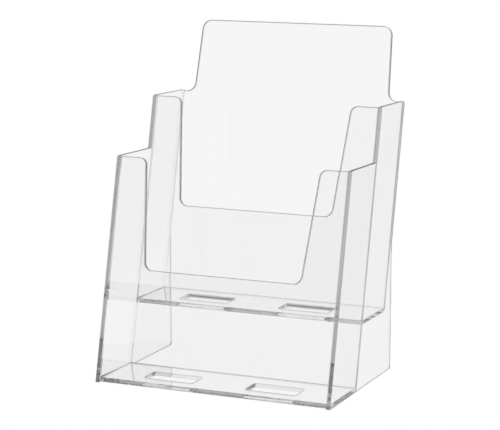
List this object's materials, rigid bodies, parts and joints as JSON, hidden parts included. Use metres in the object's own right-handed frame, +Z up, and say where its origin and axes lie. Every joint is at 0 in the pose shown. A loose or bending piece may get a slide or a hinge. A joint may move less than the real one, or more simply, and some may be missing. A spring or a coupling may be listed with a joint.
{
  "type": "brochure rack",
  "caption": "Two-tier clear acrylic literature rack for letter and A4 brochures, with leaning stepped pockets and U-shaped front cut-outs.",
  "frame": {"origin": "on the table, under the centre of the rack's bounding box", "axes": "+X to the rack's right seen from the front, +Y to the back, +Z up"},
  "size_m": [0.237, 0.2078, 0.326],
  "materials": {
    "clear_acrylic": "polished cast sheet, diamond-polished edges"
  },
  "bodies": {
    "root": {"left_side_panel": "clear_acrylic", "right_side_panel": "clear_acrylic", "lower_front_panel": "clear_acrylic", "upper_front_panel": "clear_acrylic", "back_panel": "clear_acrylic", "lower_floor": "clear_acrylic", "upper_shelf": "clear_acrylic"}
  },
  "joints": []
}
